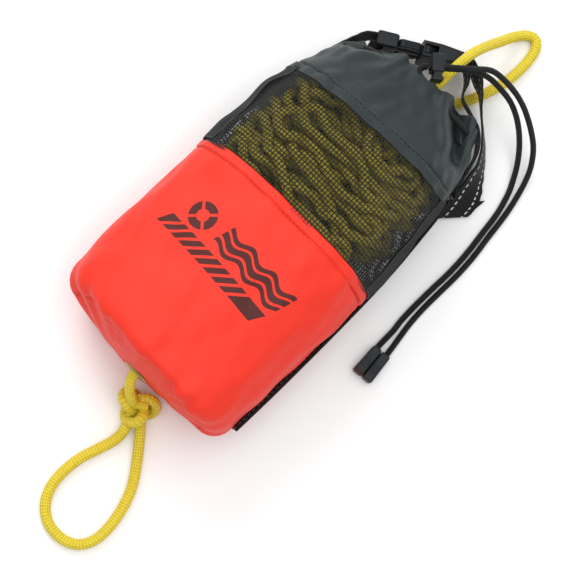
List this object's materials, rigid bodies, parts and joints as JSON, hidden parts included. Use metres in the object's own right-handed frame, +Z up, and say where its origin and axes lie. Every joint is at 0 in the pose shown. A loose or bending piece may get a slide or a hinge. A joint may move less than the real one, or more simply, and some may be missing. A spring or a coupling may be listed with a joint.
{
  "type": "throw rope bag",
  "caption": "Rescue throw rope bag: nylon lower shell, see-through mesh sleeve, gathered collar with drawcord and cord lock, stuffed with floating rope, hand loop at the base, strap with buckle",
  "frame": {"origin": "on the flat of the bag's back, under the middle of the lower shell", "axes": "+Z up out of the bag's front, +Y from the base to the mouth, +X to the bag's right side"},
  "size_m": [0.1712, 0.4236, 0.0853],
  "materials": {
    "orange_nylon": "red-orange coated nylon pack cloth, slight sheen",
    "slate_nylon": "slate grey nylon, soft sheen on the folds",
    "black_mesh": "open square polyester mesh, matt black",
    "yellow_rope": "braided polypropylene, slightly glossy yellow",
    "black_cord": "braided polyester drawcord, matt black",
    "black_webbing": "woven nylon webbing, matt black, with reflective tracer threads",
    "black_plastic": "moulded acetal, satin black",
    "grey_foam": "closed-cell foam, matt grey",
    "brass": "pressed brass eyelet, dulled",
    "spring_steel": "drawn spring wire"
  },
  "bodies": {
    "bag": {"lower_shell": "orange_nylon", "base_panel": "orange_nylon", "mesh_sleeve": "black_mesh", "collar": "slate_nylon", "hem_channel": "slate_nylon", "base_grommet": "brass", "grommet_washer": "brass", "float_foam": "grey_foam", "rope_bundle": "yellow_rope", "rope_tail": "yellow_rope", "bottom_knot": "yellow_rope", "bottom_loop": "yellow_rope", "stopper_knot": "yellow_rope", "top_knot": "yellow_rope", "top_loop": "yellow_rope", "side_webbing": "black_webbing", "strap_long": "black_webbing", "strap_short": "black_webbing", "buckle_socket": "black_plastic", "drawcord_hem": "black_cord", "drawcord_tail_left": "black_cord", "drawcord_tail_right": "black_cord", "cord_end_left": "black_plastic", "cord_end_right": "black_plastic"},
    "cord_lock": {"cord_lock_barrel": "black_plastic", "cord_lock_spring": "spring_steel"},
    "lock_button": {"cord_lock_plunger": "black_plastic"},
    "plug": {"buckle_plug": "black_plastic"},
    "upper_arm": {"buckle_arm_upper": "black_plastic"},
    "lower_arm": {"buckle_arm_lower": "black_plastic"}
  },
  "joints": [
    {"name": "cord_lock_slide", "type": "slide", "parent": "bag", "child": "cord_lock", "axis": [0.7431, 0.6691, 0], "range_m": [0, 0.01]},
    {"name": "cord_lock_button", "type": "slide", "parent": "cord_lock", "child": "lock_button", "axis": [-0.6691, 0.7431, 0], "range_m": [0, 0.0022], "stiffness_N_per_m": 500, "deforming": ["cord_lock_spring"]},
    {"name": "buckle_release", "type": "slide", "parent": "bag", "child": "plug", "axis": [-0.848, -0.5299, 0], "range_m": [0, 0.022], "deforming": ["strap_short", "buckle_arm_upper", "buckle_arm_lower"]},
    {"name": "buckle_squeeze_upper", "type": "hinge", "parent": "plug", "child": "upper_arm", "pos_m": [-0.02564, 0.15388, 0.0243], "axis": [-0.5299, 0.848, 0], "range_deg": [0, 8.5], "stiffness_Nm_per_rad": 0.4},
    {"name": "buckle_squeeze_lower", "type": "hinge", "parent": "plug", "child": "lower_arm", "pos_m": [-0.02564, 0.15388, 0.0083], "axis": [0.5299, -0.848, 0], "range_deg": [0, 8.5], "stiffness_Nm_per_rad": 0.4}
  ],
  "couplings": [
    {"joint": "buckle_squeeze_lower", "follows": "buckle_squeeze_upper", "ratio": 1}
  ]
}
